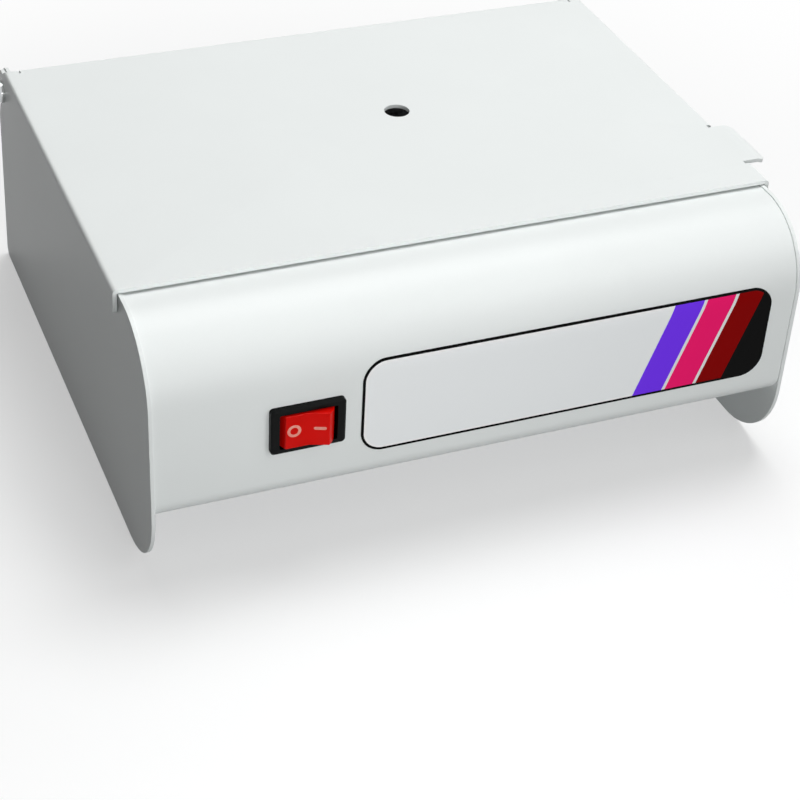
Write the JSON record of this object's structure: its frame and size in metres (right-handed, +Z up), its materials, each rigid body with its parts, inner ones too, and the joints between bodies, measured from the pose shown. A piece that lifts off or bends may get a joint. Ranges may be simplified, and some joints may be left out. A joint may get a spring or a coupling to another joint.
{
  "type": "dry heat sterilizer",
  "caption": "Bench-top dry heat sterilizer: white sheet metal box with a curved front, rear-hinged lid with a thermometer port, heated aluminium chamber and a rocker switch.",
  "frame": {"origin": "on the bench, in the middle of the footprint of the whole object with its lid closed", "axes": "+X to the right along the wide front, +Y from the front to the rear, +Z up"},
  "size_m": [0.211, 0.1928, 0.0839],
  "materials": {
    "white_enamel": "smooth gloss powder coat, white",
    "zinc_plated_steel": "zinc plated sheet and small steel parts",
    "nickel_plated_steel": "bright plated steel",
    "chamber_aluminium": "drawn aluminium, satin",
    "fibre_felt": "ceramic fibre felt",
    "mica": "layered mica plate",
    "thermostat_shell": "pressed cap on a phenolic base",
    "fuse_can": "plated can",
    "steatite": "unglazed steatite",
    "black_nylon": "moulded, fine matt grain",
    "terminal_brass": "tinned brass blades",
    "red_rocker": "clear red moulding, glossy",
    "label_film": "printed film under a clear laminate",
    "lead_silicone": "silicone sleeved wire"
  },
  "bodies": {
    "root": {"left_side_panel": "white_enamel", "right_side_panel": "white_enamel", "front_panel": "white_enamel", "rear_panel": "white_enamel", "base_plate": "zinc_plated_steel", "base_screws": "zinc_plated_steel", "top_deck": "white_enamel", "chamber_tub": "chamber_aluminium", "rim_rivets": "chamber_aluminium", "insulation_wrap": "fibre_felt", "insulation_pad": "fibre_felt", "heater_studs": "zinc_plated_steel", "heating_element": "mica", "heater_clamp": "zinc_plated_steel", "heater_nuts": "zinc_plated_steel", "thermostat": "thermostat_shell", "thermostat_screws": "zinc_plated_steel", "thermal_fuse": "fuse_can", "fuse_clip": "zinc_plated_steel", "terminal_block": "steatite", "terminal_screws": "zinc_plated_steel", "cord_gland": "black_nylon", "gland_nut": "zinc_plated_steel", "switch_housing": "black_nylon", "switch_terminals": "terminal_brass", "front_label": "label_film", "hinge_pin_left": "nickel_plated_steel", "hinge_pin_right": "nickel_plated_steel", "hinge_washers": "zinc_plated_steel", "lead_block_to_lamp": "lead_silicone", "lead_block_to_switch": "lead_silicone", "lead_switch_to_thermostat": "lead_silicone", "lead_thermostat_to_fuse": "lead_silicone", "lead_fuse_to_heater": "lead_silicone", "lead_heater_to_block": "lead_silicone"},
    "lid": {"lid_shell": "white_enamel", "liner_studs": "zinc_plated_steel", "lid_liner": "chamber_aluminium", "lid_insulation": "fibre_felt", "liner_nuts": "zinc_plated_steel", "thermometer_sleeve": "nickel_plated_steel"},
    "rocker": {"switch_rocker": "red_rocker"}
  },
  "joints": [
    {"name": "lid_hinge", "type": "hinge", "parent": "root", "child": "lid", "pos_m": [-0.00198, 0.07112, 0.0751], "axis": [-1, 0, 0], "range_deg": [0, 93]},
    {"name": "rocker_pivot", "type": "hinge", "parent": "root", "child": "rocker", "pos_m": [-0.05697, -0.08988, 0.0478], "axis": [0, 0, 1], "range_deg": [0, 20]}
  ]
}
